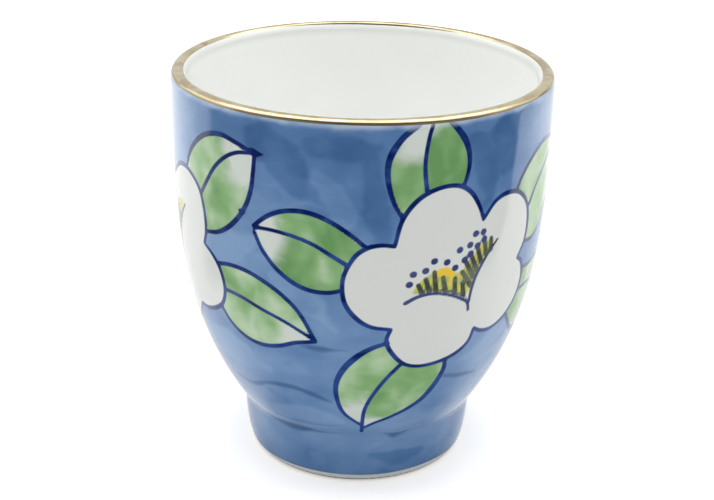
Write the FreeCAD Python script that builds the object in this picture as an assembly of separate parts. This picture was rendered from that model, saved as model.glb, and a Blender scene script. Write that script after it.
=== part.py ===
"""Handleless porcelain teacup on a tall foot ring, glazed inside and out, with a gilded lip.

Millimetres. +Z is up and is the axis of the cup. The origin is on that axis, level with
the surface that the foot stands on. Every piece is a section in the XZ plane, turned
once round the axis, so each section is drawn only on the side where x is positive.
"""
import FreeCAD, Part
import math
import os

# ---- Driving dimensions: what a ruler reads on the finished cup --------------------
cup_height = 84.2               # from the table to the top of the gilding
mouth_radius = 39.0             # outside of the cup just under the lip, over the glaze
lip_thickness = 3.3             # wall at the lip, over both glazes; the lip is a half round

crease_height = 11.9            # where the side of the bowl meets the foot
crease_radius = 24.6            # outside there, over the glaze
floor_height = 16.8             # drinking surface in the middle of the cup

rest_outer_radius = 21.2        # flat bare ring that touches the table
rest_width = 1.8
foot_edge_round = 0.9           # rounding between that ring and the inside of the foot
recess_dome = 0.8               # the underside is hollowed this much higher on the axis

# ---- Coats --------------------------------------------------------------------------
glaze = 0.3                     # glaze on every side
gilding = 0.12                  # gold over the glaze of the lip
bare_height_outside = 1.8       # the glaze stops this far above the table, outside
bare_height_inside = 2.5        # and this far above it inside the foot
glaze_pool = 1.6                # glaze that gathered in the corner under the cup
gold_drop_outside = 1.05        # the gold reaches this far below the top, outside
gold_drop_inside = 0.35         # and this far inside

# ---- Character of the three curves --------------------------------------------------
# A curve rises one unit while it spreads one unit. It starts level if its fullness is
# above 1, ends upright, and the lift says how soon it has spread.
side_fullness, side_lift = 1.0, 3.43
foot_fullness, foot_lift = 3.0, 1.76
inside_fullness, inside_lift = 5.0, 2.6

# ---- Worked out ---------------------------------------------------------------------
lip_round = lip_thickness / 2
lip_radius = mouth_radius - lip_round               # centre of the half round
lip_height = cup_height - gilding - lip_round
rest_inner_radius = rest_outer_radius - rest_width
recess_radius = rest_inner_radius - foot_edge_round
dome_radius = (recess_radius ** 2 + recess_dome ** 2) / (2 * recess_dome)
dome_top = crease_height + recess_dome
dome_centre = dome_top - dome_radius                # height of its centre, far below
foot_glaze_start = (bare_height_outside / crease_height) ** (1 / foot_fullness)

CURVE_SPANS = 20                # steps that each curve is drawn in
FULL_TURN = 360.0
CROWN = math.pi / 2             # the top of the lip, as an angle round its centre


def point(radius, height):
    return FreeCAD.Vector(radius, 0, height)


# ---- Curves -------------------------------------------------------------------------
class Curve:
    """Swelling curve from a low inner point to a high outer point of the section."""

    def __init__(self, low, high, fullness, lift):
        self.low = low
        self.high = high
        self.fullness = fullness
        self.lift = lift

    def spread_and_rise(self, share):
        """Both go from 0 to 1 as the share of the way along goes from 0 to 1."""
        rise = share ** self.fullness
        spread = (1 - (1 - rise) ** self.lift) ** (1 / self.fullness)
        return spread, rise

    def at(self, share):
        spread, rise = self.spread_and_rise(share)
        return point(self.low.x + (self.high.x - self.low.x) * spread,
                     self.low.z + (self.high.z - self.low.z) * rise)

    def direction(self, share):
        """Unit vector along the curve, from the slopes of the spread and of the rise."""
        spread, rise = self.spread_and_rise(share)
        ratio = share / spread if share > 0 else self.lift ** (-1 / self.fullness)
        widening = self.lift * (1 - rise) ** (self.lift - 1) * ratio ** (self.fullness - 1)
        climbing = self.fullness * share ** (self.fullness - 1)
        along = point((self.high.x - self.low.x) * widening,
                      (self.high.z - self.low.z) * climbing)
        return along.normalize()

    def beside(self, share, distance):
        """Point at a distance to the outer, lower side of the curve."""
        along = self.direction(share)
        return self.at(share) + point(along.z, -along.x) * distance

    def edge(self, start, end, distance):
        """Smooth edge beside the part of the curve between two shares."""
        step = (end - start) / CURVE_SPANS
        shares = [start + step * span for span in range(CURVE_SPANS)] + [end]
        spline = Part.BSplineCurve()
        spline.interpolate(Points=[self.beside(share, distance) for share in shares],
                           InitialTangent=self.direction(start),
                           FinalTangent=self.direction(end))
        return spline.toShape()


# Glazed outside of the bowl, from the crease to the lip.
side = Curve(point(crease_radius, crease_height), point(mouth_radius, lip_height),
             side_fullness, side_lift)
# Outside of the clay foot, from the table to the crease.
foot = Curve(point(rest_outer_radius, 0), point(crease_radius - glaze, crease_height),
             foot_fullness, foot_lift)
# Glazed inside of the cup, from the middle of the floor to the lip.
inside = Curve(point(0, floor_height), point(mouth_radius - lip_thickness, lip_height),
               inside_fullness, inside_lift)


# ---- Edges that pieces share --------------------------------------------------------
def line(start, end):
    return Part.LineSegment(start, end).toShape()


def arc(centre, radius, start_angle, end_angle):
    """Round edge about a centre; angles go from +X towards +Z."""
    def at(angle):
        return centre + point(math.cos(angle), math.sin(angle)) * radius
    middle_angle = (start_angle + end_angle) / 2
    return Part.Arc(at(start_angle), at(middle_angle), at(end_angle)).toShape()


def lip_arc(radius, start_angle, end_angle):
    return arc(point(lip_radius, lip_height), radius, start_angle, end_angle)


def crown_cut():
    """Where the outside and the inside glaze meet, under the gold."""
    return line(point(lip_radius, lip_height + lip_round - glaze),
                point(lip_radius, lip_height + lip_round))


def crease_arc():
    """Corner of the clay under the crease: as far from the crease as the glaze is thick."""
    along = side.direction(0.0)
    return arc(point(crease_radius, crease_height), glaze,
               math.pi, math.atan2(along.x, -along.z))


def clay_side():
    return side.edge(0.0, 1.0, -glaze)


def clay_inside():
    return inside.edge(0.0, 1.0, glaze)


def glazed_foot_edge():
    return foot.edge(foot_glaze_start, 1.0, 0.0)


def dome_arc(radius, start_angle):
    """Arc of a hollow under the cup, from an angle up to the axis."""
    return arc(point(0, dome_centre), radius, start_angle, CROWN)


def underside():
    """Hollowed underside of the bowl, inside the foot."""
    return dome_arc(dome_radius, math.atan2(crease_height - dome_centre, recess_radius))


def turned(edges):
    """Solid made by turning a closed section once round the axis."""
    section = Part.Face(Part.Wire(Part.__sortEdges__(edges)))
    solid = section.revolve(FreeCAD.Vector(0, 0, 0), FreeCAD.Vector(0, 0, 1), FULL_TURN)
    return Part.Solid(solid.Shells[0])


# ---- Pieces -------------------------------------------------------------------------
def bowl():
    """Thrown porcelain bowl, with the flat under it that the foot is stuck to."""
    clay_lip = lip_round - glaze
    return turned([
        underside(),
        line(point(recess_radius, crease_height), point(foot.high.x, crease_height)),
        crease_arc(),
        clay_side(),
        lip_arc(clay_lip, 0.0, CROWN),
        lip_arc(clay_lip, CROWN, math.pi),
        clay_inside(),
        line(point(0, floor_height - glaze), point(0, dome_top)),
    ])


def foot_ring():
    """Turned ring of the same clay, stuck under the bowl with slip before firing."""
    return turned([
        line(point(foot.high.x, crease_height), point(recess_radius, crease_height)),
        line(point(recess_radius, crease_height), point(recess_radius, foot_edge_round)),
        arc(point(rest_inner_radius, foot_edge_round), foot_edge_round, math.pi, 1.5 * math.pi),
        line(point(rest_inner_radius, 0), point(rest_outer_radius, 0)),
        foot.edge(0.0, foot_glaze_start, 0.0),
        glazed_foot_edge(),
    ])


def outer_glaze():
    """Blue glaze from the bare edge of the foot to the top of the lip."""
    return turned([
        line(foot.beside(foot_glaze_start, 0.0),
             foot.beside(foot_glaze_start, glaze)),
        foot.edge(foot_glaze_start, 1.0, glaze),
        side.edge(0.0, 1.0, 0.0),
        lip_arc(lip_round, 0.0, CROWN),
        crown_cut(),
        lip_arc(lip_round - glaze, 0.0, CROWN),
        clay_side(),
        crease_arc(),
        glazed_foot_edge(),
    ])


def inner_glaze():
    """White glaze over the inside of the cup, up to the top of the lip."""
    return turned([
        line(point(0, floor_height), point(0, floor_height - glaze)),
        clay_inside(),
        lip_arc(lip_round - glaze, CROWN, math.pi),
        crown_cut(),
        lip_arc(lip_round, CROWN, math.pi),
        inside.edge(0.0, 1.0, 0.0),
    ])


def base_glaze():
    """White glaze under the cup, inside the foot, gathered in the corner."""
    wall = recess_radius - glaze
    ceiling_radius = dome_radius - glaze
    pool_out = wall - glaze_pool
    pool_up = math.sqrt((ceiling_radius - glaze_pool) ** 2 - pool_out ** 2)
    pool_centre = point(pool_out, dome_centre + pool_up)
    pool_end = math.atan2(pool_up, pool_out)        # there it runs on into the ceiling
    return turned([
        underside(),
        line(point(recess_radius, crease_height), point(recess_radius, bare_height_inside)),
        line(point(recess_radius, bare_height_inside), point(wall, bare_height_inside)),
        line(point(wall, bare_height_inside), point(wall, pool_centre.z)),
        arc(pool_centre, glaze_pool, 0.0, pool_end),
        dome_arc(ceiling_radius, pool_end),
        line(point(0, dome_top - glaze), point(0, dome_top)),
    ])


def gilt_rim():
    """Gold laid over the glaze of the lip."""
    def angle_at(drop):
        return math.asin((cup_height - drop - lip_height) / lip_round)

    def lip_point(radius, angle):
        return point(lip_radius, lip_height) + point(math.cos(angle), math.sin(angle)) * radius

    first = angle_at(gold_drop_outside)
    last = math.pi - angle_at(gold_drop_inside)
    gilded_round = lip_round + gilding
    return turned([
        lip_arc(lip_round, first, CROWN),
        lip_arc(lip_round, CROWN, last),
        line(lip_point(lip_round, last), lip_point(gilded_round, last)),
        lip_arc(gilded_round, first, last),
        line(lip_point(lip_round, first), lip_point(gilded_round, first)),
    ])


# ---- Write one file for each piece --------------------------------------------------
pieces = {
    "bowl": bowl,
    "foot_ring": foot_ring,
    "outer_glaze": outer_glaze,
    "inner_glaze": inner_glaze,
    "base_glaze": base_glaze,
    "gilt_rim": gilt_rim,
}

os.makedirs("parts", exist_ok=True)
for name, make in pieces.items():
    shape = make()
    shape.exportStep("parts/" + name + ".step")
    box = shape.optimalBoundingBox()
    print(f"{name}: valid {shape.isValid()}, {shape.Volume:.1f} mm3, "
          f"radius {box.XMax:.2f}, from {box.ZMin:.2f} to {box.ZMax:.2f}")
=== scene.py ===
# %% [markdown]
# # A handleless teacup, painted and glazed
# This cup is thrown in white porcelain. It has a tall foot, a blue glaze outside that was
# brushed on round painted flowers and leaves, a white glaze inside, and a gilded lip.
# The CAD frame already holds the sizes. Blender adds the painting, the glazes, the uneven
# edges that a hand leaves, and the light. Everything is in metres, in the frame's own axes.

import math

import bpy
import numpy as np
from mathutils import Matrix, Vector


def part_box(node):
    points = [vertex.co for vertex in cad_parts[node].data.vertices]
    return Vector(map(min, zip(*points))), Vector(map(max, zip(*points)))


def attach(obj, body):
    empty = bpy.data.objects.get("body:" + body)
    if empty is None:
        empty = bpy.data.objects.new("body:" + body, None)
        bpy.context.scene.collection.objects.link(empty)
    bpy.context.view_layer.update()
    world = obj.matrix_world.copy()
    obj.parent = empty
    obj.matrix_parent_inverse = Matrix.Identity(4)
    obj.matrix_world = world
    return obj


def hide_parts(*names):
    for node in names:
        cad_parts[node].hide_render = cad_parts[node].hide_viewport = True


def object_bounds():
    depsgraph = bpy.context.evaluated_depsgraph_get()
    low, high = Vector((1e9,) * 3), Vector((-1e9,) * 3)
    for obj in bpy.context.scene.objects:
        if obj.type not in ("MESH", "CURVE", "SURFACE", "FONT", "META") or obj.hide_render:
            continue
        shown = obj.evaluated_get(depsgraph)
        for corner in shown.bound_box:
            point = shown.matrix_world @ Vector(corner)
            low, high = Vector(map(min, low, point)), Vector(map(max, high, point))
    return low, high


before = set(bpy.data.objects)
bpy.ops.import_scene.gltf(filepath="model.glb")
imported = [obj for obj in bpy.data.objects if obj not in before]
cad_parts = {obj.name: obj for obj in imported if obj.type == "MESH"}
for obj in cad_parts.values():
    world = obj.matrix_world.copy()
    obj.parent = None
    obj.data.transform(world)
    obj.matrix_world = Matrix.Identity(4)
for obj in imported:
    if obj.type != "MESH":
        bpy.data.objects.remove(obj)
cad_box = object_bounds()
print("frame:", sorted(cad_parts))

# %% [markdown]
# ## Sizes
# The frame's boxes give most sizes: the mouth and the top from the glaze, the floor of the
# cup from the inner glaze, the height of the foot from the bowl. A box can't tell how a
# side swells, so the three curves are given by the same rule as in the CAD part: a curve
# rises one unit while it spreads one unit, and its lift says how soon it has spread.

# %% Sizes from the frame
mm = 0.001


def top_of(node):
    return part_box(node)[1].z


def foot_of(node):
    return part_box(node)[0].z


def reach_of(node):
    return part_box(node)[1].x


mouth_radius = reach_of("outer_glaze")
glaze = mouth_radius - reach_of("bowl")
lip_centre_radius = reach_of("inner_glaze")
lip_round = mouth_radius - lip_centre_radius
gilding = top_of("gilt_rim") - top_of("outer_glaze")
lip_height = top_of("outer_glaze") - lip_round
crease_height = top_of("foot_ring")
crease_radius = reach_of("foot_ring") + glaze
floor_height = foot_of("inner_glaze") + glaze
bare_outside = foot_of("outer_glaze")
bare_inside = foot_of("base_glaze")
recess_radius = reach_of("base_glaze")
dome_top = top_of("base_glaze")

rest_outer_radius = 21.2 * mm
rest_inner_radius = 19.4 * mm
foot_edge_round = rest_inner_radius - recess_radius

print(f"mouth {mouth_radius / mm:.2f}, lip {lip_round / mm:.2f}, glaze {glaze / mm:.2f} mm")
print(f"crease at {crease_height / mm:.2f}, cup floor at {floor_height / mm:.2f} mm")


# %% Curves of the section
def swelling(low, high, fullness, lift, share):
    """Point of a curve from a low inner point to a high outer point, each (radius, height)."""
    rise = share ** fullness
    spread = (1 - (1 - rise) ** lift) ** (1 / fullness)
    return (low[0] + (high[0] - low[0]) * spread, low[1] + (high[1] - low[1]) * rise)


side_fullness, side_lift = 1.0, 3.43
foot_fullness, foot_lift = 3.0, 1.76
inside_fullness, inside_lift = 5.0, 2.6


def side(share):
    return swelling((crease_radius, crease_height), (mouth_radius, lip_height),
                    side_fullness, side_lift, share)


def foot(share):
    return swelling((rest_outer_radius, 0.0), (crease_radius - glaze, crease_height),
                    foot_fullness, foot_lift, share)


def inside(share):
    return swelling((0.0, floor_height), (mouth_radius - 2 * lip_round, lip_height),
                    inside_fullness, inside_lift, share)


def along(curve, start, end, steps):
    """Points of a curve between two shares, both ends included."""
    return [curve(start + (end - start) * step / steps) for step in range(steps + 1)]


def arc(centre, radius, start, end, steps):
    """Points of an arc; angles go from outwards, 0, to upwards, a quarter turn."""
    angles = [start + (end - start) * step / steps for step in range(steps + 1)]
    return [(centre[0] + radius * math.cos(a), centre[1] + radius * math.sin(a)) for a in angles]


def beside(points, distance):
    """The same line, moved to its right by a distance."""
    line = np.array(points)
    slope = np.gradient(line, axis=0)
    slope /= np.linalg.norm(slope, axis=1)[:, None]
    moved = line + distance * np.stack([slope[:, 1], -slope[:, 0]], axis=1)
    return [tuple(place) for place in moved]


lip_centre = (lip_centre_radius, lip_height)
quarter = math.pi / 2
print("half way up the side the cup is", round(side(0.5)[0] / mm, 2), "mm in radius")

# %% [markdown]
# ## Turning a section
# Every piece of a cup is a closed section turned once round the axis, as on the wheel. In
# Blender a circle without a face is a ready ring of vertices. Each vertex is put on the
# section, and Spin then turns the ring in edit mode. The last copy lies on the first, so
# doubles are merged, and the normals are recalculated because Spin can leave them inwards.


# %% The lathe
def select_nothing():
    for thing in bpy.context.selected_objects:
        thing.select_set(False)


def turned(name, section, steps, sharp_degrees=40.0):
    """Closed piece made by turning a closed section, (radius, height) points, round Z."""
    select_nothing()
    bpy.ops.mesh.primitive_circle_add(vertices=len(section), fill_type="NOTHING")
    piece = bpy.context.object
    piece.name = name
    piece.data.name = name
    for vertex, (radius, height) in zip(piece.data.vertices, section):
        vertex.co = (radius, 0.0, height)
    bpy.ops.object.mode_set(mode="EDIT")
    bpy.ops.mesh.select_all(action="SELECT")
    bpy.ops.mesh.spin(steps=steps, angle=2 * math.pi, center=(0, 0, 0), axis=(0, 0, 1))
    bpy.ops.mesh.select_all(action="SELECT")
    bpy.ops.mesh.remove_doubles(threshold=0.001 * mm)
    bpy.ops.mesh.normals_make_consistent(inside=False)
    bpy.ops.object.mode_set(mode="OBJECT")
    bpy.ops.object.shade_smooth_by_angle(angle=math.radians(sharp_degrees))
    print(f"{name}: {len(piece.data.polygons)} faces")
    return piece


def places_of(piece):
    """Vertex positions as rows of x, y, z."""
    flat = np.zeros(len(piece.data.vertices) * 3)
    piece.data.vertices.foreach_get("co", flat)
    return flat.reshape(-1, 3)


def move_to(piece, places):
    piece.data.vertices.foreach_set("co", places.ravel())
    piece.data.update()


def azimuth_of(places):
    """Degrees round the cup, 0 at the front, more to the right as seen from the front."""
    return np.degrees(np.arctan2(places[:, 0], -places[:, 1]))


def wander(azimuth, sizes, seed):
    """Uneven line round the cup: waves with 2, 3, 4 … turns, each with its own size."""
    shifts = np.random.default_rng(seed).uniform(0, 360, len(sizes))
    waves = [size * np.sin(np.radians((turns + 2) * azimuth + shift))
             for turns, (size, shift) in enumerate(zip(sizes, shifts))]
    return np.sum(waves, axis=0)


# %% [markdown]
# ## The blue glaze outside
# One coat runs from just above the table, over the foot and the crease, up the side and to
# the crown of the lip. It could be a copy of the clay made thicker with Solidify, but then
# the mesh would be as coarse as the CAD one. The painting is stored in the mesh, so the
# coat is turned anew with vertices about half a millimetre apart. The side against the
# clay is never seen and has long thin faces. A coat that was wiped off by hand ends
# unevenly, so its lowest two millimetres are lifted by a line that wanders.

# %% Turn the outer coat
painted_steps = 520
bare_share = (bare_outside / crease_height) ** (1 / foot_fullness)
foot_line = along(foot, bare_share, 1.0, 16)
side_line = along(side, 0.0, 1.0, 146)
hidden_side = beside(along(side, 0.0, 1.0, 9), -glaze)
outer_section = (
    beside(foot_line, glaze)[:-1]
    + side_line
    + arc(lip_centre, lip_round, 0.0, quarter, 7)[1:]
    + arc(lip_centre, lip_round - glaze, quarter, 0.0, 2)[:-1]
    + hidden_side[::-1]
    + foot_line[::-3][1:-1]
    + [foot_line[0]]
)
painted_glaze = turned("painted_glaze", outer_section, painted_steps)
outer_places = places_of(painted_glaze)
outer_azimuth = azimuth_of(outer_places)
edge_depth = 2.0 * mm
edge_rise = 0.32 * mm
low = np.clip(1 - (outer_places[:, 2] - bare_outside) / edge_depth, 0, 1)
edge_waves = wander(outer_azimuth, [0.1 * mm, 0.08 * mm, 0.06 * mm, 0.06 * mm], 3)
outer_places[:, 2] += low * (edge_rise + edge_waves)
move_to(painted_glaze, outer_places)
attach(painted_glaze, "root")
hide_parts("outer_glaze")

# %% [markdown]
# ## The other pieces
# The white glaze inside is a deep round bowl of its own. Under the cup the foot holds a
# shallow hollow with glaze that gathered in its corner. The foot itself stays clay-bare
# where it stood in the kiln. All three are turned with the same lathe.

# %% Turn the inner coat
inner_section = (
    along(inside, 0.0, 1.0, 60)[::-1]
    + beside(along(inside, 0.0, 1.0, 30), glaze)
    + arc(lip_centre, lip_round - glaze, math.pi, quarter, 3)[1:]
    + arc(lip_centre, lip_round, quarter, math.pi, 8)[:-1]
)
inner_glaze = turned("white_inside", inner_section, 240)
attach(inner_glaze, "root")
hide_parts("inner_glaze")

# %% Turn the coat under the cup
glaze_pool = 1.6 * mm
dome_rise = dome_top - crease_height
dome_radius = (recess_radius ** 2 + dome_rise ** 2) / (2 * dome_rise)
dome_centre = (0.0, dome_top - dome_radius)
ceiling_radius = dome_radius - glaze
pool_out = recess_radius - glaze - glaze_pool
pool_up = math.sqrt((ceiling_radius - glaze_pool) ** 2 - pool_out ** 2)
pool_centre = (pool_out, dome_centre[1] + pool_up)
pool_end = math.atan2(pool_up, pool_out)
dome_start = math.atan2(crease_height - dome_centre[1], recess_radius)
base_section = (
    [(recess_radius, bare_inside), (recess_radius - glaze, bare_inside)]
    + arc(pool_centre, glaze_pool, 0.0, pool_end, 8)
    + arc(dome_centre, ceiling_radius, pool_end, quarter, 12)[1:]
    + arc(dome_centre, dome_radius, quarter, dome_start, 6)
)
base_glaze = turned("white_underside", base_section, 160)
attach(base_glaze, "root")
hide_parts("base_glaze")

# %% Turn the clay of the foot
foot_section = (
    along(foot, 0.0, 1.0, 24)
    + [(recess_radius, crease_height)]
    + arc((rest_inner_radius, foot_edge_round), foot_edge_round, math.pi, 3 * quarter, 8)
)
foot_clay = turned("foot_clay", foot_section, 240)
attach(foot_clay, "root")
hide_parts("foot_ring")

# %% [markdown]
# ## The gilded lip
# Gold is brushed over the fired glaze, so its band has uneven edges. At the front it is
# narrowest, and there it starts higher on the lip. It is turned as a thin band over the
# whole half round of the lip. Then each vertex slides along the round, so that the band
# starts and stops at angles that wander round the cup, and it thins out at both edges.

# %% Turn and trim the gold
band_rows = 22
gold_section = (
    arc(lip_centre, lip_round + gilding, 0.0, math.pi, band_rows)
    + arc(lip_centre, lip_round, math.pi, 0.0, band_rows)
)
gilt_band = turned("gilt_band", gold_section, 480)
gold_places = places_of(gilt_band)
gold_azimuth = azimuth_of(gold_places)
gold_radius = np.hypot(gold_places[:, 0], gold_places[:, 1])
gold_out = gold_radius - lip_centre[0]
gold_up = gold_places[:, 2] - lip_centre[1]
gold_share = np.arctan2(gold_up, gold_out) / math.pi
gold_share = np.where(gold_share < -0.5, 1.0, np.clip(gold_share, 0.0, 1.0))
gold_depth = np.hypot(gold_out, gold_up)
band_start, front_rise, band_stop = 26.0, 9.0, 129.0
front = np.clip(np.cos(np.radians(gold_azimuth)), 0, 1)
start_waves = wander(gold_azimuth, [2.0, 1.5, 1.8, 1.5, 1.2, 1.2], 5)
gold_start = np.radians(band_start + front_rise * front + start_waves)
gold_stop = np.radians(band_stop + wander(gold_azimuth, [2.0, 1.5, 1.5, 1.0], 8))
gold_angle = gold_start + (gold_stop - gold_start) * gold_share
edge_share, thinnest = 0.125, 0.15
thinned = np.clip(np.minimum(gold_share, 1 - gold_share) / edge_share, thinnest, 1.0)
gold_depth = lip_round + (gold_depth - lip_round) * thinned
round_places = np.stack([lip_centre[0] + gold_depth * np.cos(gold_angle),
                         lip_centre[1] + gold_depth * np.sin(gold_angle)], axis=1)
gold_places[:, :2] *= (round_places[:, 0] / gold_radius)[:, None]
gold_places[:, 2] = round_places[:, 1]
move_to(gilt_band, gold_places)
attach(gilt_band, "root")
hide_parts("gilt_rim")
print(f"gold top at {gold_places[:, 2].max() / mm:.2f} mm")

# %% [markdown]
# ## Painting on the mesh
# The flowers were painted with a thin brush before the blue was laid round them. A picture
# wrapped on the cup would need an image, so the mesh stores distances instead. For each
# vertex, and for each kind of paint, an attribute holds how far it is from the edge of
# that paint, in millimetres and below zero inside. The material turns the distances into
# crisp edges, also between vertices. Places are given as degrees round the cup from the
# front, and height in millimetres. A brush line is a smooth curve through a few of them.

# %% Brush lines on the cup
degree_width = 0.62  # millimetres that one degree spans on the side of the cup


def outer_radius(height):
    """Outside radius of the cup at heights in millimetres, also in millimetres."""
    table = np.array(side_line) / mm
    return np.interp(height, table[:, 1], table[:, 0])


def smooth_line(points, closed=False, steps=7):
    """Curve through the points that bends evenly (a Catmull-Rom curve)."""
    knots = np.array(points, float)
    if closed:
        knots = np.vstack([knots[-1:], knots, knots[:2]])
    else:
        knots = np.vstack([2 * knots[0] - knots[1], knots, 2 * knots[-1] - knots[-2]])
    line = []
    for before, start, end, after in zip(knots, knots[1:], knots[2:], knots[3:]):
        for share in np.arange(steps) / steps:
            bend = (end - before) * share
            curve = (2 * before - 5 * start + 4 * end - after) * share ** 2
            twist = (3 * start - before - 3 * end + after) * share ** 3
            line.append(start + (bend + curve + twist) / 2)
    line.append(knots[-2])
    return np.array(line)


def on_cup(line):
    """Places in millimetres on the outside of the cup for rows of degrees and height."""
    angle = np.radians(line[:, 0])
    radius = outer_radius(line[:, 1])
    return np.stack([radius * np.sin(angle), -radius * np.cos(angle), line[:, 1]], axis=1)


def nearest(line, places):
    """Distance from each place to a line on the cup, and the share of the line there."""
    spots = on_cup(line)
    start, step = spots[:-1], np.diff(spots, axis=0)
    length = np.maximum((step ** 2).sum(axis=1), 1e-12)
    away = places[:, None, :] - start[None]
    share = np.clip((away * step).sum(axis=2) / length, 0, 1)
    gap = np.linalg.norm(away - share[:, :, None] * step, axis=2)
    closest = gap.argmin(axis=1)
    rows = np.arange(len(places))
    return gap[rows, closest], (closest + share[rows, closest]) / len(start)


def enclosed(line, azimuth, height):
    """True for places within a closed outline, found by counting the edges they pass."""
    inner = np.zeros(len(azimuth), bool)
    for (x0, y0), (x1, y1) in zip(line, np.roll(line, -1, axis=0)):
        if y0 != y1:
            passes = (y0 > height) != (y1 > height)
            inner ^= passes & (azimuth < x0 + (height - y0) * (x1 - x0) / (y1 - y0))
    return inner


# %% Layers of paint
far_away = 5.0
stroke_reach = 3.0
outline_reach = 4.0
cup_places = outer_places / mm
paint_layers = {}


def layer(name):
    return paint_layers.setdefault(name, np.full(len(cup_places), far_away))


def near(line, reach):
    """Vertices near a line, their degrees carried round so that they suit the line."""
    middle = (line[:, 0].min() + line[:, 0].max()) / 2
    azimuth = (outer_azimuth - middle + 180) % 360 - 180 + middle
    margin = reach / degree_width
    rows = np.nonzero(
        (azimuth > line[:, 0].min() - margin) & (azimuth < line[:, 0].max() + margin)
        & (cup_places[:, 2] > line[:, 1].min() - reach)
        & (cup_places[:, 2] < line[:, 1].max() + reach))[0]
    return rows, azimuth[rows]


def brush(name, points, widths, steps=7):
    """Lays a brush line; the widths, in millimetres, are spread evenly along it."""
    line = smooth_line(points, steps=steps)
    rows, _ = near(line, stroke_reach + max(widths) / 2)
    gap, share = nearest(line, cup_places[rows])
    width = np.interp(share, np.linspace(0, 1, len(widths)), widths)
    paint = layer(name)
    paint[rows] = np.minimum(paint[rows], gap - width / 2)
    return line


def fill(name, line):
    """Fills a closed outline with a paint, and returns what it covers."""
    rows, azimuth = near(line, outline_reach)
    gap, _ = nearest(np.vstack([line, line[:1]]), cup_places[rows])
    inner = enclosed(line, azimuth, cup_places[rows, 2])
    paint = layer(name)
    paint[rows] = np.minimum(paint[rows], np.where(inner, -gap, gap))
    return rows[inner]


def moved(points, turn, lift=0.0):
    """The same brush line further round the cup and higher."""
    return [(azimuth + turn, height + lift) for azimuth, height in points]


# %% [markdown]
# ## Flowers
# A camellia seen from the front has five broad petals. Each petal is one swing of the
# brush from notch to notch, so each is its own short curve, and together they close the
# flower. The petals stay the white of the porcelain. The front flower and its neighbour to
# the left differ as hand-painted ones do. The third, at the back, is the first again.

# %% Petals
front_petals = [
    [(9.6, 59.9), (5.8, 60.2), (1.8, 59.6), (-1.8, 57.5), (-4.6, 53.2), (-4.3, 48.4),
     (-1.2, 45), (3.4, 42.8), (9.7, 42)],
    [(9.7, 42), (8.6, 39.6), (10.1, 36.8), (14.5, 33.6), (20, 32.4), (27, 32.6),
     (33.5, 33.8), (37.6, 35.9), (38.7, 38.9)],
    [(38.7, 38.9), (42.5, 37.6), (47.5, 37.2), (53.5, 38.5), (58.6, 41.9), (59.8, 46.2),
     (57.8, 49.9), (54.6, 51.6)],
    [(54.6, 51.6), (57.6, 54.6), (58.3, 58.6), (56.6, 62.8), (51.8, 66), (46.1, 66.9),
     (41, 66), (36.8, 62.9)],
    [(36.8, 62.9), (34.9, 66), (31.6, 69.2), (27, 70.9), (21, 70.7), (15.5, 68.8),
     (11.5, 65.1), (9.6, 59.9)],
]
left_petals = [
    [(-98, 61), (-103, 61.4), (-109, 59.6), (-112.6, 54.6), (-111.5, 48.6),
     (-105.5, 44.4), (-96.5, 43)],
    [(-96.5, 43), (-97.4, 38.4), (-91.8, 33.6), (-84, 31.4), (-75, 31.6),
     (-68.5, 33.8), (-63.8, 36.9), (-61.4, 38.3)],
    [(-61.4, 38.3), (-57.2, 38.4), (-51.6, 39.7), (-46.8, 42), (-44.6, 45.6),
     (-45.6, 49.6), (-48.6, 52.2), (-52.6, 53.9)],
    [(-52.6, 53.9), (-51.1, 56.8), (-51.2, 60.6), (-53.2, 64.9), (-57.6, 67.3),
     (-63, 68.1), (-69, 66.9), (-78.5, 61.9)],
    [(-78.5, 61.9), (-82.6, 67.9), (-88, 70.2), (-93.6, 69.4), (-97.2, 65.6), (-98, 61)],
]
back_turn = 126.0
back_petals = [moved(petal, back_turn, -0.6) for petal in front_petals]

for petals in (front_petals, left_petals, back_petals):
    outline = np.vstack([brush("ink", petal, [0.8, 1.0, 0.9, 1.05, 0.8])[:-1] for petal in petals])
    fill("petal", outline)
print("petals cover", int((paint_layers["petal"] < 0).sum()), "vertices")

# %% [markdown]
# ## Leaves
# A leaf is two edges and a vein, all drawn from the flower to the tip. Each half between
# an edge and the vein is filled with green. The painter left the tip white, and not the
# same length of it in both halves, so another attribute holds the distance to the place
# where the green begins. One more holds how pale the green of each half is.


# %% One leaf
def leaf(one_edge, vein, other_edge, tip, white_lengths, widths=(0.9, 1.05, 0.9), pale=(0, 0)):
    """Green leaf; its halves have their own white length, in millimetres, and paleness."""
    middle = brush("ink", vein, [0.95, 0.85, 0.8])
    tip_spot = on_cup(np.array([tip], float))
    start = layer("leaf_start")
    tint = layer("leaf_tint")
    for edge, white, paleness in zip((one_edge, other_edge), white_lengths, pale):
        outline = brush("ink", edge, widths)
        covered = fill("leaf", np.vstack([outline, middle[::-1]]))
        start[covered] = np.linalg.norm(cup_places[covered] - tip_spot, axis=1) - white
        tint[covered] = paleness


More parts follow.
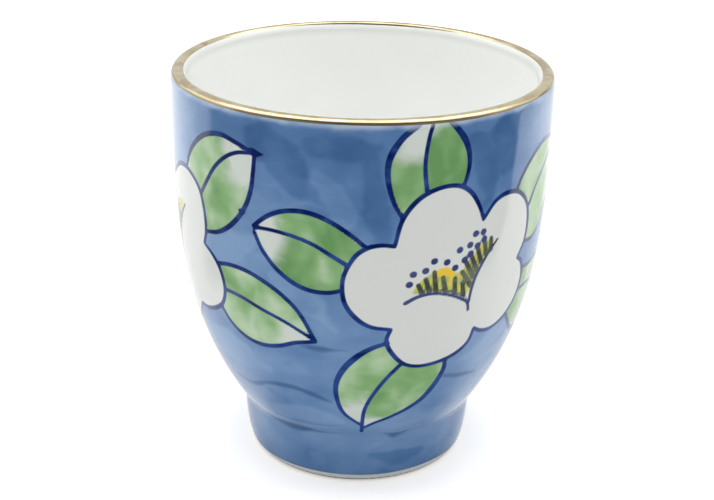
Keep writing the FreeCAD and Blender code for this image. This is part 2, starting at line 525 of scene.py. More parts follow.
# %% Leaves round the front flower
top_leaf = dict(
    one_edge=[(11.5, 65.5), (9, 68.6), (7.4, 72.3), (7.1, 75.6), (8.3, 78.4), (11.2, 81.2),
              (15.6, 83.5)],
    vein=[(18.1, 70.5), (17.4, 74.4), (17.5, 77.6), (18.4, 81.4), (19.4, 83.5)],
    other_edge=[(29.3, 70.5), (30.6, 73.8), (30.6, 76.5), (29.3, 79.2), (27, 81.5),
                (24.3, 83.5)],
    tip=(17, 86), white_lengths=(9.5, 4.6), widths=(0.8, 1.05, 1.35, 1.05),
    pale=(-0.04, -0.06))
left_leaf = dict(
    one_edge=[(1.6, 59.8), (-2.2, 62), (-7, 64.2), (-12, 65.7), (-17, 66.2),
              (-22.4, 65.6), (-27, 64), (-31.2, 61.6)],
    vein=[(-3.9, 56.2), (-8, 57.9), (-13, 59.8), (-18.8, 61), (-25, 61.5), (-31, 61.4)],
    other_edge=[(-5.2, 50.6), (-9, 50), (-14.2, 50.1), (-19.5, 51.4), (-24.6, 53.9),
                (-28.6, 57.1), (-31, 60.4)],
    tip=(-31.2, 60.8), white_lengths=(5.6, 7.2), pale=(-0.02, -0.04))
low_leaf = dict(
    one_edge=[(9, 38.9), (3.9, 37.6), (-0.4, 35.6), (-4.6, 32.4), (-7.2, 28.4),
              (-7.2, 24), (-4.9, 19.8), (1.6, 16.2)],
    vein=[(13.9, 33.4), (9.6, 29.9), (6.4, 26.5), (4, 23.3), (2.6, 19.8), (2.3, 13.8)],
    other_edge=[(29.6, 32.9), (30.1, 30.4), (28.6, 27), (25.2, 23.2), (20.4, 20.7),
                (13.5, 18.4), (7.2, 16.7), (2.6, 15)],
    tip=(2, 15.4), white_lengths=(9.6, 5.2), widths=(0.9, 1.45, 1, 0.8),
    pale=(0.05, 0.05))
right_upper_leaf = dict(
    one_edge=[(50.4, 66.9), (52.4, 69), (56.6, 71.5), (62, 73.4), (68, 74),
              (74.5, 73.3), (80.6, 71.9)],
    vein=[(58.2, 62.3), (61.3, 65), (66, 67.5), (71.5, 69.5), (80.6, 71.6)],
    other_edge=[(58.6, 54.3), (64, 54.2), (70, 56.6), (75.5, 61), (79.6, 66.4),
                (80.6, 71.4)],
    tip=(80.6, 71.6), white_lengths=(4.5, 6.5), pale=(0.02, 0.05))
right_lower_leaf = dict(
    one_edge=[(59.4, 48.4), (64.5, 47.9), (72, 48.2), (80, 46.8), (87, 43.6),
              (93.5, 38.9)],
    vein=[(59.4, 43.2), (68, 43), (76.5, 42), (85, 40.4), (93.5, 38.7)],
    other_edge=[(54.6, 38.9), (58.2, 36.3), (64, 33), (72, 32.2), (80, 33.2),
                (88, 35.8), (93.5, 38.5)],
    tip=(93.5, 38.7), white_lengths=(5, 7))
for shape in (top_leaf, left_leaf, low_leaf, right_upper_leaf, right_lower_leaf):
    leaf(**shape)

# %% Leaves of the flower on the left
second_upper_leaf = dict(
    one_edge=[(-60.6, 68.6), (-58.4, 71.6), (-54.4, 74.6), (-49, 77), (-42.6, 78),
              (-36.8, 77.3), (-30.4, 76)],
    vein=[(-52.6, 64.4), (-49.4, 67.5), (-45.6, 71), (-41, 73.8), (-36.4, 75.4),
          (-31.4, 76)],
    other_edge=[(-50.4, 56.9), (-45, 57.9), (-39.6, 60.3), (-34.8, 64), (-32, 68.2),
                (-30.9, 72.6), (-30.4, 76)],
    tip=(-30.6, 75.8), white_lengths=(7.2, 7.6), widths=(0.8, 1.1, 1.05, 0.9),
    pale=(0.08, 0.06))
second_lower_leaf = dict(
    one_edge=[(-46, 51), (-40.6, 51.7), (-34.2, 51.5), (-28, 50.1), (-22.6, 48),
              (-17.6, 44.6), (-13.2, 38.8)],
    vein=[(-44.6, 45.7), (-37.6, 45.3), (-30.3, 43.9), (-23, 42.3), (-17, 40.3),
          (-13.2, 38.7)],
    other_edge=[(-47.6, 41), (-44.4, 38.2), (-38.8, 36), (-32.2, 35.3), (-25.6, 36.1),
                (-19.6, 37.7), (-13.2, 38.6)],
    tip=(-13.4, 38.7), white_lengths=(2.5, 7.8), pale=(0.07, 0.04))
for shape in (second_upper_leaf, second_lower_leaf):
    leaf(**shape)
brush("ink", [(-31.2, 76.3), (-29.4, 76.1), (-27.6, 76.1)], [1.6, 1.2, 0.3])
brush("ink", [(-34.6, 64), (-35.6, 63.9)], [1.1, 1.1])


# %% Leaves at the back
def turned_leaf(shape, turn, lift=0.0):
    """The same leaf further round the cup."""
    edges = {part: moved(shape[part], turn, lift) for part in ("one_edge", "vein", "other_edge")}
    tip = moved([shape["tip"]], turn, lift)[0]
    return {**shape, **edges, "tip": tip}


for shape in (top_leaf, left_leaf, low_leaf, right_upper_leaf, right_lower_leaf):
    leaf(**turned_leaf(shape, back_turn, 0.0 if shape is top_leaf else -0.6))
left_turn = -107.0
for shape in (left_leaf, low_leaf):
    leaf(**turned_leaf(shape, left_turn, 1.0))
print("leaves cover", int((paint_layers["leaf"] < 0).sum()), "vertices")

# %% [markdown]
# ## Stamens
# The heart of a camellia is a bundle of stamens. The painter drew a curved base line in
# the shape of a tick, short dark strokes that rise from it, yellow between them, and a
# loose row of blue dots for the anthers. Their ink was thinner than that of the outlines,
# so it is a layer of its own. The heart of the left flower is mostly hidden by the turn
# of the cup and is the same one again.

# %% Heart of a flower
heart_base = [(13.4, 47.7), (17.2, 48.9), (22, 49.2), (27.6, 48.2), (32.2, 46.6), (34, 45.6),
              (34.8, 43.8)]
heart_arm = [(43.2, 57.9), (39.4, 55.1), (36.2, 51.5), (34.9, 48.6), (34.5, 45.6)]
filaments = [
    [(17, 51.4), (18.4, 49.4)], [(19.1, 52.5), (20.5, 49.7)], [(21.6, 53.8), (22.6, 49.7)],
    [(24.5, 52.4), (25.7, 49.3)], [(28.5, 51.7), (28.9, 48.6)], [(31.2, 50.5), (32.1, 47.7)],
    [(30.7, 52.8), (34.3, 49.4)], [(31.6, 54.9), (34.9, 51.2)], [(33.3, 56.1), (36, 52.4)],
    [(35.4, 57.4), (37.2, 54.1)], [(37.8, 58.5), (39, 55.3)], [(40.4, 58.5), (40.8, 56.1)],
]
anthers = [(14.3, 51.7), (15.3, 53.8), (18.9, 54.3), (21.4, 56.1), (25.4, 55.5), (28.2, 54),
           (29.3, 57.6), (32.7, 58.2), (34.4, 60.3), (37.2, 60.3), (31.2, 55.3), (33.1, 56.3),
           (35.4, 57.7), (37.7, 58.7)]
pollen = [(15.6, 49.6), (16.9, 51.7), (19.9, 53.2), (24.8, 54.2), (29.6, 52.8), (33.6, 55.4),
          (37.4, 57.8), (41.6, 58), (38.6, 54.8), (35.6, 50.8), (33.4, 47.8), (27.6, 48.8),
          (21, 49.8)]
rich_pollen = [([(23.3, 53.5), (25.4, 53.5), (27.4, 52.9)], [1.7, 1.9, 1.2]),
               ([(27.2, 52.6), (26.9, 50.4)], [0.9, 0.5]),
               ([(29.4, 52.3), (31.4, 51.7), (33, 49.2)], [0.5, 0.6, 0.4]),
               ([(37.2, 57.5), (38.3, 56.2)], [0.9, 0.6])]


def heart(turn=0.0, lift=0.0, strokes=12, dots=14):
    brush("heart_ink", moved(heart_base, turn, lift), [0.9, 0.7, 0.75, 0.7])
    brush("heart_ink", moved(heart_arm, turn, lift), [0.35, 0.55, 0.6, 0.5])
    brush("filament", moved(heart_arm, turn, lift), [0.6, 0.8, 0.9, 0.7])
    brush("filament", moved(heart_base[1:6], turn, lift + 0.7), [0.2, 0.5, 0.7, 0.6, 0.2])
    fill("pollen", smooth_line(moved(pollen, turn, lift), closed=True))
    for line, widths in rich_pollen:
        brush("rich_pollen", moved(line, turn, lift), widths)
    for filament in filaments[:strokes]:
        brush("filament", moved(filament, turn, lift), [1.1, 1.15, 1.25])
    for azimuth, height in moved(anthers[:dots], turn, lift):
        brush("heart_ink", [(azimuth - 0.1, height), (azimuth + 0.1, height)], [1.4, 1.4],
              steps=2)


heart()
heart(-107.5, 1.6, strokes=10, dots=8)
heart(back_turn, -0.6)
print("paint layers:", sorted(paint_layers))

# %% [markdown]
# ## The blue wash
# Blue was brushed round the flowers in broad overlapping strokes, so it is dark where two
# of them meet and pale where the brush ran dry. The top was brushed twice and is deep, the
# middle is pale, and the foot is deeper again. Two pale patches high at the left and right
# sides are partly the wash and partly a painted reflection of the pale studio. On that base
# lie broad deep and pale strokes. Low on the cup, a few thin dark lines show where the
# brush was lifted, and those just above the crease are painted shade in the crease. Thin
# pale lines show where two strokes didn't quite meet, and those just above and below the
# crease are painted highlights along its edges. The back has the strokes of the front
# again, turned round, but only those that reach out of sight of the front.

# %% Base tone
wash_heights = [0, 9, 13, 22, 45, 58, 64, 70, 84]
wash_tones = [0.66, 0.7, 0.8, 0.77, 0.7, 0.78, 0.62, 0.5, 0.5]
wash = np.interp(cup_places[:, 2], wash_heights, wash_tones)
wash_and_reflection_patches = [
    # azimuth, height, half width in degrees, half height in millimetres, change of tone
    # The first two patches, pale high at the left and right sides, are partly paler wash and
    # partly a painted reflection of the pale studio.
    (-68, 74, 13, 14, 0.6), (63, 77, 8, 12, 0.42), (41, 76, 7, 7, -0.08),
    (-46, 30, 14, 9, 0.25), (15, 15, 12, 5, 0.16), (48, 30, 10, 8, 0.25),
    (-50, 7, 14, 6, 0.25), (100, 55, 14, 12, -0.2), (165, 22, 20, 8, -0.2),
    (-140, 40, 14, 9, 0.2), (-43, 54, 11, 9, 0.2), (-22, 68, 8, 9, 0.12),
]
for azimuth, height, wide, high, change in wash_and_reflection_patches:
    turn = (outer_azimuth - azimuth + 180) % 360 - 180
    wash += change * np.exp(-((turn / wide) ** 2 + ((cup_places[:, 2] - height) / high) ** 2))

# %% Broad strokes and thin lines
deep_strokes = [
    ([(-28, 79), (-23, 75.5), (-19, 72), (-16, 69.5)], [5, 9, 8, 3]),
    ([(-13, 79), (-7, 79.3), (0, 78.6), (5, 79.5)], [3, 4.5, 4, 2]),
    ([(2.5, 77), (3.6, 71), (4.6, 66), (6.5, 62)], [3, 4, 3.5, 2]),
    ([(33, 79.5), (36, 75), (38, 70.5), (38.6, 67)], [4, 7, 6, 2]),
    ([(41, 79.5), (43.5, 76.5), (44.6, 73)], [5, 7, 5]),
    ([(8, 7.4), (20, 6.4), (34, 7.2)], [1.5, 3.2, 1.5]),
]
pale_strokes = [
    ([(-12, 73), (-8, 70), (-4, 65.5)], [3, 5.5, 3]),
    ([(-48, 55), (-40, 55.4), (-33, 58)], [5, 7, 4]),
    ([(-26, 52), (-15, 46.5), (-7, 41.5)], [2, 6, 3]),
    ([(-62, 30.5), (-48, 31), (-32, 29.5)], [6, 7, 3]),
    ([(36, 31.5), (44, 32.5), (52, 35)], [2, 5, 5]),
    ([(-34, 17), (-18, 18), (-6, 16.8)], [2, 4.5, 2]),
    ([(-22, 66.8), (-14, 67.9), (-6, 66.2)], [0.8, 1.6, 0.8]),
]
# Thin dark lines: those at 12 to 13 mm, just above the crease, are painted shade in the crease;
# the others are where the brush was lifted.
brush_and_crease_shade_lines = [
    ([(-56, 23.4), (-44, 22.8), (-34, 25), (-24, 25.7), (-17, 24.8), (-9, 22.8)],
     [0.3, 0.9, 1.2, 1.5, 1.2, 0.3]),
    ([(-18, 37.3), (-11, 37), (-3, 37)], [0.5, 1.8, 0.5]),
    ([(-60, 12.8), (-44, 12.5), (-30, 12.2), (-16, 12.5), (-3, 13.2)],
     [0.4, 1.1, 1.5, 1.3, 0.3]),
    ([(13, 12.9), (18, 11.9), (23, 12.2), (28, 13)], [0.4, 1.9, 1.4, 0.3]),
    ([(29, 28.8), (37, 27.4), (47, 26.2)], [0.3, 1, 0.3]),
]
# Thin pale lines: those at 9 to 15 mm, beside the crease, are painted highlights along its edges;
# the others are gaps between strokes.
gap_and_highlight_lines = [
    ([(-52, 14.6), (-36, 14), (-20, 14.1), (-8, 14.7)], [0.4, 1.1, 1, 0.3]),
    ([(24, 13.4), (40, 13.3), (60, 13.6)], [0.3, 0.8, 0.5]),
    ([(5, 10.4), (10, 10), (16, 10.3)], [0.3, 0.9, 0.3]),
    ([(2, 9.3), (6, 9.1), (11, 9.3)], [0.3, 0.7, 0.3]),
    ([(-40, 2.9), (-33, 2.6), (-27, 2.8)], [0.3, 1.4, 0.3]),
]
out_of_sight = 84.0
for turn in (0.0, back_turn, -115.0):
    for name, strokes in (("deep_wash", deep_strokes), ("pale_wash", pale_strokes),
                          ("brush_and_crease_shade_line", brush_and_crease_shade_lines), ("gap_and_highlight_line", gap_and_highlight_lines)):
        for points, widths in strokes:
            line = moved(points, turn)
            farthest = max(abs((azimuth + 180) % 360 - 180) for azimuth, _ in line)
            if turn == 0.0 or farthest > out_of_sight:
                brush(name, line, widths)

# %% Store the painting in the mesh
paint_layers["wash"] = wash
for name, values in paint_layers.items():
    attribute = painted_glaze.data.attributes.new(name, "FLOAT", "POINT")
    attribute.data.foreach_set("value", values.astype(np.float32))
print("stored", len(paint_layers), "attributes on", len(cup_places), "vertices")

# %% [markdown]
# ## Materials: helpers
# A material is a board of nodes. Short helpers keep the boards readable: one adds a node
# and fills its sockets, one turns a distance into a soft-edged mask, one lays a colour
# over another where a mask says so, and a few do small sums.


# %% Node helpers
def colour(red, green, blue):
    """Screen colour, 0 to 255, as the linear values that a material works in."""
    shares = [level / 255 for level in (red, green, blue)]
    return (*[s / 12.92 if s <= 0.04045 else ((s + 0.055) / 1.055) ** 2.4 for s in shares], 1.0)


def put(tree, kind, inputs=None, **settings):
    """Adds a node; an input is given a value, or a socket to link it to."""
    node = tree.nodes.new(kind)
    for name, value in settings.items():
        setattr(node, name, value)
    for name, value in (inputs or {}).items():
        if isinstance(value, bpy.types.NodeSocket):
            tree.links.new(value, node.inputs[name])
        else:
            node.inputs[name].default_value = value
    return node


def masked(tree, distance, start, end):
    """Mask that goes smoothly from 0 to 1 while the distance goes from start to end."""
    node = put(tree, "ShaderNodeMapRange", {"Value": distance, "From Min": start, "From Max": end},
               interpolation_type="SMOOTHSTEP")
    return node.outputs["Result"]


def laid_over(tree, mask, below, above):
    """Colour above where the mask is 1, and below where it is 0."""
    node = put(tree, "ShaderNodeMix", {0: mask, 6: below, 7: above}, data_type="RGBA")
    return node.outputs[2]


def calculated(tree, operation, first, second=0.0):
    node = put(tree, "ShaderNodeMath", {0: first, 1: second}, operation=operation)
    return node.outputs[0]


def product(tree, first, *factors):
    for factor in factors:
        first = calculated(tree, "MULTIPLY", first, factor)
    return first


def plus(tree, first, second, weight):
    """The first value with a share of the second one added."""
    return calculated(tree, "ADD", first, product(tree, second, weight))


def stored(tree, name):
    return put(tree, "ShaderNodeAttribute", attribute_name=name).outputs["Fac"]


def painted_over(tree, name, below, above, outer_edge, inner_edge):
    """Colour above within a layer of paint; its edge is soft between two distances."""
    return laid_over(tree, masked(tree, stored(tree, name), outer_edge, inner_edge), below, above)


def ramped(tree, value, low, middle, high):
    """Colour that follows a value through three stops, each a position and a colour."""
    node = put(tree, "ShaderNodeValToRGB", {"Fac": value})
    stops = node.color_ramp.elements
    stops[0].position, stops[0].color = low
    stops[1].position, stops[1].color = high
    stops.new(middle[0]).color = middle[1]
    return node.outputs["Color"]


def height_in_mm(tree):
    """Height above the table of each spot on the surface."""
    place = put(tree, "ShaderNodeTexCoord").outputs["Object"]
    height = put(tree, "ShaderNodeSeparateXYZ", {"Vector": place}).outputs["Z"]
    return calculated(tree, "DIVIDE", height, mm)


def new_material(name):
    """Material with an empty board, its shader and its output."""
    material = bpy.data.materials.new(name)
    material.use_nodes = True
    tree = material.node_tree
    tree.nodes.clear()
    shader = put(tree, "ShaderNodeBsdfPrincipled")
    output = put(tree, "ShaderNodeOutputMaterial")
    tree.links.new(shader.outputs["BSDF"], output.inputs["Surface"])
    return material, tree, shader


def bumped(tree, shader, height, strength, depth):
    """Lets a height move the reflections, as if the surface were that deep."""
    bump = put(tree, "ShaderNodeBump", {"Height": height, "Strength": strength, "Distance": depth})
    tree.links.new(bump.outputs["Normal"], shader.inputs["Normal"])


def new_group(name, inputs, outputs):
    """Node group with float inputs and their defaults, and float outputs."""
    tree = bpy.data.node_groups.new(name, "ShaderNodeTree")
    for label, value in inputs.items():
        socket = tree.interface.new_socket(label, in_out="INPUT", socket_type="NodeSocketFloat")
        socket.default_value = value
    for label in outputs:
        tree.interface.new_socket(label, in_out="OUTPUT", socket_type="NodeSocketFloat")
    return tree, put(tree, "NodeGroupInput"), put(tree, "NodeGroupOutput")


def grouped(tree, group, **inputs):
    """Places a node group and gives it its own values."""
    node = put(tree, "ShaderNodeGroup", node_tree=group)
    for label, value in inputs.items():
        node.inputs[label.replace("_", " ")].default_value = value
    return node.outputs


# %% [markdown]
# ## Effects that finishes share
# Two effects come back in more than one finish, so each is a node group. Kiln ripple is
# the faint orange-peel of a melted glaze: it only moves the reflections. Brush streaks are
# the long soft marks of a loaded brush, in the blue, in the greens and in the gold.

# %% Kiln ripple
ripple, ripple_in, ripple_out = new_group(
    "kiln_ripple", {"Size": 4.0, "Fine share": 0.2}, ["Height"])
place = put(ripple, "ShaderNodeTexCoord").outputs["Object"]
scale = calculated(ripple, "DIVIDE", 1000.0, ripple_in.outputs["Size"])
broad = put(ripple, "ShaderNodeTexNoise", {"Vector": place, "Scale": scale, "Detail": 1.0})
fine_scale = product(ripple, scale, 5.0)
fine = put(ripple, "ShaderNodeTexNoise", {"Vector": place, "Scale": fine_scale, "Detail": 2.0})
height = plus(ripple, broad.outputs["Fac"], fine.outputs["Fac"], ripple_in.outputs["Fine share"])
ripple.links.new(height, ripple_out.inputs["Height"])

# %% Brush streaks
streaks, streaks_in, streaks_out = new_group(
    "brush_streaks", {"Length": 12.0, "Lift": 0.35, "Turn": 0.3}, ["Tone", "Patch"])
place = put(streaks, "ShaderNodeTexCoord").outputs["Object"]
turn = put(streaks, "ShaderNodeCombineXYZ", {"Y": streaks_in.outputs["Turn"]})
squeeze = put(streaks, "ShaderNodeCombineXYZ", {"X": 1.0, "Y": 1.0})
streaks.links.new(calculated(streaks, "DIVIDE", 1.0, streaks_in.outputs["Lift"]),
                  squeeze.inputs["Z"])
lying = put(streaks, "ShaderNodeMapping", {"Vector": place, "Rotation": turn.outputs[0],
                                           "Scale": squeeze.outputs[0]})
scale = calculated(streaks, "DIVIDE", 1000.0, streaks_in.outputs["Length"])
long_marks = put(streaks, "ShaderNodeTexNoise",
                 {"Vector": lying.outputs[0], "Scale": scale, "Detail": 1.6, "Distortion": 0.35})
streaks.links.new(long_marks.outputs["Fac"], streaks_out.inputs["Tone"])
patches = put(streaks, "ShaderNodeTexVoronoi",
              {"Vector": lying.outputs[0], "Scale": scale, "Smoothness": 0.3},
              feature="SMOOTH_F1")
patch_tone = put(streaks, "ShaderNodeSeparateColor", {"Color": patches.outputs["Color"]})
streaks.links.new(patch_tone.outputs[0], streaks_out.inputs["Patch"])
print("groups:", ripple.name, streaks.name)

# %% [markdown]
# ## Finish: painted glaze
# The layers lie one over the other: blue ground, green leaves, white petals, yellow, dark
# strokes, and the ink on top. Noise makes the blue and the ink uneven, as if more or less
# watered. Under the gold the glaze ran thin, and the blue fades there to a pale line. All
# of it is under one clear gloss.

# %% Ground colour
painted, tree, shader = new_material("painted_glaze")
marks = grouped(tree, streaks, Length=13.0, Lift=0.6, Turn=0.5)
small_marks = grouped(tree, streaks, Length=5.0, Lift=0.6, Turn=-0.4)
upright_marks = grouped(tree, streaks, Length=4.0, Lift=3.5, Turn=0.0)
uneven = calculated(tree, "ADD", marks["Tone"], marks["Patch"])
uneven = product(tree, calculated(tree, "SUBTRACT", uneven, 1.0), 2.6)


def stroke_mask(name):
    """Mask of a broad stroke, whose edge runs unevenly like wet colour."""
    return masked(tree, calculated(tree, "ADD", stored(tree, name), uneven), 0.7, -0.9)


tone = calculated(tree, "SUBTRACT", stored(tree, "wash"), 0.58)
for part, weight in ((marks["Tone"], 0.45), (marks["Patch"], 0.14), (small_marks["Patch"], 0.09),
                     (small_marks["Tone"], 0.22), (upright_marks["Tone"], 0.16)):
    tone = plus(tree, tone, part, weight)
tone = plus(tree, tone, stroke_mask("deep_wash"), -0.22)
tone = plus(tree, tone, stroke_mask("pale_wash"), 0.2)
blues = ramped(tree, tone, (0.0, colour(57, 94, 140)), (0.5, colour(90, 126, 173)),
               (1.0, colour(132, 162, 200)))
# Thin dark lines: brush lines, and painted shade in the crease.
brush_and_crease_shade_line = masked(tree, plus(tree, stored(tree, "brush_and_crease_shade_line"), uneven, 0.3), 0.5, -0.6)
ground = laid_over(tree, product(tree, brush_and_crease_shade_line, 0.6), blues, colour(44, 78, 124))
# Thin pale lines: gaps between strokes, and painted highlights beside the crease.
gap_and_highlight_line = masked(tree, plus(tree, stored(tree, "gap_and_highlight_line"), uneven, 0.2), 0.4, -0.5)
ground = laid_over(tree, product(tree, gap_and_highlight_line, 0.28), ground, colour(172, 190, 214))

# %% Leaves and petals
leaf_marks = grouped(tree, streaks, Length=7.0, Lift=1.6, Turn=0.9)
green_tone = plus(tree, product(tree, leaf_marks["Tone"], 0.8), small_marks["Tone"], 0.2)
green_tone = calculated(tree, "ADD", green_tone, stored(tree, "leaf_tint"))
greens = ramped(tree, green_tone, (0.34, colour(108, 155, 98)), (0.5, colour(138, 179, 124)),
                (0.7, colour(190, 213, 180)))
uneven_start = calculated(tree, "ADD", leaf_marks["Patch"], small_marks["Patch"])
leaf_start = plus(tree, stored(tree, "leaf_start"), uneven_start, 2.2)
leaf_colour = laid_over(tree, masked(tree, leaf_start, 0.0, 4.0), colour(212, 219, 212), greens)
painting = painted_over(tree, "leaf", ground, leaf_colour, 0.1, -0.1)
painting = painted_over(tree, "petal", painting, colour(219, 222, 218), 0.1, -0.1)

# %% Stamens, line and lip
pollen_colour = laid_over(tree, masked(tree, small_marks["Tone"], 0.4, 0.6),
                          colour(214, 208, 92), colour(176, 188, 122))
painting = painted_over(tree, "pollen", painting, pollen_colour, 0.35, -0.4)
painting = painted_over(tree, "rich_pollen", painting, colour(238, 202, 70), 0.25, -0.25)
filament_colour = laid_over(tree, masked(tree, small_marks["Tone"], 0.4, 0.65),
                            colour(64, 74, 74), colour(102, 110, 84))
painting = painted_over(tree, "filament", painting, filament_colour, 0.12, -0.22)
level = height_in_mm(tree)
watered = plus(tree, small_marks["Tone"], level, -0.004)
ink_colour = laid_over(tree, masked(tree, watered, 0.08, 0.52), colour(3, 28, 92),
                       colour(48, 76, 142))
painting = painted_over(tree, "ink", painting, ink_colour, 0.14, -0.14)
heart_ink_colour = laid_over(tree, masked(tree, small_marks["Tone"], 0.35, 0.65),
                             colour(50, 60, 114), colour(72, 82, 130))
painting = painted_over(tree, "heart_ink", painting, heart_ink_colour, 0.14, -0.14)
level = plus(tree, level, small_marks["Tone"], 1.7)
thin_top = product(tree, masked(tree, level, 82.9, 84.8), 0.8)
painting = laid_over(tree, thin_top, painting, colour(180, 196, 208))
tree.links.new(painting, shader.inputs["Base Color"])

# %% Gloss of the painted glaze
waves = grouped(tree, ripple, Size=6.0)
bumped(tree, shader, waves["Height"], 0.12, 0.3 * mm)
shader.inputs["Roughness"].default_value = 0.09
shader.inputs["IOR"].default_value = 1.5
painted_glaze.data.materials.append(painted)

# %% [markdown]
# ## Finish: white glaze, bare clay and gold
# The white glaze is cloudy by a shade or so, and a painted shade greys it near the lit lip.
# Bare porcelain is matt, and stained brown where it touches the table. The gold is thin
# and worn: it is browner along its lower edge, and wherever the brush left less of it.
# Gold leaf would be even, so a brushed gold suits this cup.

# %% White glaze
white, tree, shader = new_material("white_glaze")
cloud = grouped(tree, streaks, Length=26.0, Lift=1.0, Turn=0.2)
shade = laid_over(tree, masked(tree, cloud["Tone"], 0.35, 0.65), colour(245, 246, 244),
                  colour(248, 249, 247))
# Painted shade: the white turns greyer towards the lip, which the light hits hardest.
lip_painted_shade = masked(tree, height_in_mm(tree), 81.0, 83.6)
shade = laid_over(tree, lip_painted_shade, shade, colour(222, 224, 220))
tree.links.new(shade, shader.inputs["Base Color"])
waves = grouped(tree, ripple, Size=7.0)
bumped(tree, shader, waves["Height"], 0.1, 0.3 * mm)
shader.inputs["Roughness"].default_value = 0.1
shader.inputs["IOR"].default_value = 1.5
for piece in (inner_glaze, base_glaze):
    piece.data.materials.append(white)

# %% Bare porcelain
clay, tree, shader = new_material("bare_porcelain")
grain = grouped(tree, ripple, Size=0.5, Fine_share=0.6)
stain = plus(tree, height_in_mm(tree), grain["Height"], 0.6)
stained = laid_over(tree, masked(tree, stain, 1.3, 0.9), colour(222, 225, 222),
                    colour(134, 122, 106))
tree.links.new(stained, shader.inputs["Base Color"])
bumped(tree, shader, grain["Height"], 0.3, 0.05 * mm)
shader.inputs["Roughness"].default_value = 0.7
foot_clay.data.materials.append(clay)
for slot_index in range(len(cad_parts["bowl"].data.materials)):
    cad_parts["bowl"].data.materials[slot_index] = clay

# %% Gold
gold, tree, shader = new_material("worn_gold")
wear = grouped(tree, streaks, Length=6.0, Lift=0.3, Turn=0.0)
worn = masked(tree, wear["Tone"], 0.42, 0.66)
gold_colour = laid_over(tree, worn, colour(224, 212, 174), colour(200, 184, 148))
level = plus(tree, height_in_mm(tree), wear["Tone"], 0.5)
gold_colour = laid_over(tree, masked(tree, level, 84.15, 83.7), gold_colour,
                        colour(138, 120, 92))
tree.links.new(gold_colour, shader.inputs["Base Color"])
shader.inputs["Metallic"].default_value = 1.0
matt = put(tree, "ShaderNodeMapRange", {"Value": wear["Tone"], "To Min": 0.13, "To Max": 0.22})
tree.links.new(matt.outputs["Result"], shader.inputs["Roughness"])
waves = grouped(tree, ripple, Size=1.5)
bumped(tree, shader, waves["Height"], 0.1, 0.05 * mm)
gilt_band.data.materials.append(gold)
print("materials:", [m.name for m in (painted, white, clay, gold)])

# %% [markdown]
# ## The table and the light
# The cup stands on a white sweep in soft light from above and from both sides. A glazed
# wall is a mirror as well, so what it mirrors matters as much as the lamps. To the eye
# the table and the world are white. In a reflection they are a studio: the floor in front
# is dark, with a dark panel on the right and a fainter one on the left, and so is the room
# high above the camera. Near the cup the mirrored floor has a painted shadow. The rest is
# pale. That keeps the blue deep at the front and lets it fade to white along the sides. A
# bright strip overhead runs along the gold. Real panels would do the same, but they would
# stand in the way in other views.


# %% Table
def to_the_eye(tree, seen):
    """1 for what the camera sees, also through glass, and 0 for light and reflections."""
    return calculated(tree, "MAXIMUM", seen.outputs["Is Camera Ray"],
                      seen.outputs["Is Transmission Ray"])


select_nothing()
bpy.ops.mesh.primitive_plane_add(size=6.0)
table = bpy.context.object
table.name = "table"
sweep, tree, shader = new_material("white_sweep")
speck = grouped(tree, ripple, Size=20.0)
shade = laid_over(tree, speck["Height"], colour(243, 243, 243), colour(247, 247, 247))
tree.links.new(shade, shader.inputs["Base Color"])
shader.inputs["Roughness"].default_value = 1.0
shader.inputs["Specular IOR Level"].default_value = 0.0
seen = put(tree, "ShaderNodeLightPath")
glow = put(tree, "ShaderNodeEmission", {"Color": (1.0, 0.975, 0.94, 1.0)})
spot = put(tree, "ShaderNodeTexCoord").outputs["Object"]
distance = put(tree, "ShaderNodeVectorMath", {0: spot}, operation="LENGTH").outputs["Value"]
far_glow = put(tree, "ShaderNodeMapRange", {"Value": distance, "From Min": 0.06,
                                            "From Max": 0.6, "To Min": 0.4, "To Max": 1.0})
tree.links.new(product(tree, to_the_eye(tree, seen), far_glow.outputs["Result"]),
               glow.inputs["Strength"])
seen_by_eye = put(tree, "ShaderNodeAddShader", {0: shader.outputs["BSDF"], 1: glow.outputs[0]})

# %% What the glaze mirrors of the table
towards = put(tree, "ShaderNodeVectorMath", {0: spot}, operation="NORMALIZE")
towards = put(tree, "ShaderNodeSeparateXYZ", {"Vector": towards.outputs["Vector"]})
# In a reflection the floor is painted darker near the cup: a painted shadow of the cup.
floor_shadowed_near_cup = put(tree, "ShaderNodeMapRange", {"Value": distance, "From Min": 0.04,
                                              "From Max": 0.22, "To Min": 0.98, "To Max": 1.6})
axes = put(tree, "ShaderNodeSeparateXYZ", {"Vector": spot}).outputs
slanted = calculated(tree, "SUBTRACT", axes["Y"], plus(tree, -0.07, axes["X"], 0.4))
dark_right = product(tree, masked(tree, axes["X"], 0.1, 0.13),
                     masked(tree, slanted, 0.004, -0.008))
dark_left = product(tree, masked(tree, axes["X"], -0.085, -0.112),
                    masked(tree, axes["Y"], 0.036, 0.002), 0.85)
dark_floor = calculated(tree, "MAXIMUM", dark_right, dark_left)
white_floor = product(tree, masked(tree, towards.outputs["Y"], -0.8, -0.05),
                      floor_shadowed_near_cup.outputs["Result"],
                      calculated(tree, "SUBTRACT", 1.0, dark_floor))
mirrored = put(tree, "ShaderNodeEmission", {"Color": (1, 1, 1, 1), "Strength": white_floor})
both = put(tree, "ShaderNodeMixShader", {0: seen.outputs["Is Glossy Ray"],
                                         1: seen_by_eye.outputs[0], 2: mirrored.outputs[0]})
output = [node for node in tree.nodes if node.type == "OUTPUT_MATERIAL"][0]
tree.links.new(both.outputs[0], output.inputs["Surface"])
table.data.materials.append(sweep)


# %% World
def grey(level):
    return (level, level, level, 1.0)


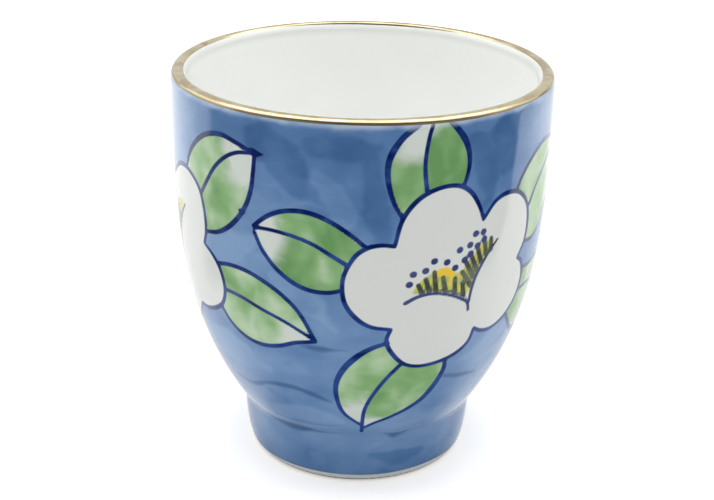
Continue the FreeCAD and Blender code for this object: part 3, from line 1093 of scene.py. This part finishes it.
world = bpy.data.worlds.new("studio")
bpy.context.scene.world = world
world.use_nodes = True
tree = world.node_tree
tree.nodes.clear()
direction = put(tree, "ShaderNodeTexCoord").outputs["Generated"]
parts = put(tree, "ShaderNodeSeparateXYZ", {"Vector": direction}).outputs
room = calculated(tree, "MAXIMUM", masked(tree, parts["Y"], -0.5, 0.15),
                  masked(tree, parts["Z"], 0.6, 0.4))
strip = product(tree, masked(tree, parts["Z"], 0.6, 0.72), masked(tree, parts["Y"], -0.1, 0.05),
                masked(tree, parts["Y"], 0.6, 0.45))
room_colour = laid_over(tree, room, grey(0.14), grey(0.75))
room_colour = laid_over(tree, strip, room_colour, grey(2.4))
above_front = put(tree, "ShaderNodeVectorMath", {0: direction, 1: (0.0, -0.6, 0.8)},
                  operation="DOT_PRODUCT").outputs["Value"]
soft_sky = laid_over(tree, masked(tree, above_front, 0.0, 0.95), grey(0.22), grey(0.74))
seen = put(tree, "ShaderNodeLightPath")
glossy = laid_over(tree, seen.outputs["Is Glossy Ray"], soft_sky, room_colour)
whole = laid_over(tree, to_the_eye(tree, seen), glossy, grey(1.0))
sky = put(tree, "ShaderNodeBackground", {"Color": whole})
put(tree, "ShaderNodeOutputWorld", {"Surface": sky.outputs[0]})


# %% Lamps
def soft_lamp(name, place, aim, size, power):
    """Flat lamp at a place, turned to face another, with its size and power."""
    lamp = bpy.data.lights.new(name, "AREA")
    lamp.shape = "RECTANGLE"
    lamp.size, lamp.size_y = size
    lamp.energy = power
    holder = bpy.data.objects.new(name, lamp)
    bpy.context.scene.collection.objects.link(holder)
    from_lamp = Vector(place) - Vector(aim)
    holder.matrix_world = (Matrix.Translation(place)
                           @ from_lamp.to_track_quat("Z", "Y").to_matrix().to_4x4())
    print(f"{name}: {power} W, {size[0]} by {size[1]} m")
    return holder


cup_middle = (0.0, 0.0, cad_box[1][2] / 2)
overhead = soft_lamp("overhead", (0.0, 0.05, 0.6), cup_middle, (0.7, 0.5), 3.4)
overhead.visible_glossy = False
soft_lamp("left", (-0.55, 0.16, 0.26), cup_middle, (0.6, 0.5), 0.75)
soft_lamp("right", (0.55, 0.1, 0.26), cup_middle, (0.5, 0.5), 0.45)

# %% [markdown]
# ## The camera
# The camera stands in front of the cup and above it, at about the height of someone who
# is pouring tea, and looks down into it. It is turned a degree on its own axis.

# %% Camera
camera = bpy.data.cameras.new("camera")
camera.lens = 73.1
camera_holder = bpy.data.objects.new("camera", camera)
bpy.context.scene.collection.objects.link(camera_holder)
degrees_down, degrees_rolled = 22.405, 1.048
camera_place = (-0.54 * mm, -286.56 * mm, 161.5 * mm)
look_down = Matrix.Rotation(math.radians(90 - degrees_down), 4, "X")
own_turn = Matrix.Rotation(math.radians(degrees_rolled), 4, "Z")
camera_holder.matrix_world = Matrix.Translation(camera_place) @ look_down @ own_turn
bpy.context.scene.camera = camera_holder
bpy.context.scene.view_settings.view_transform = "Standard"
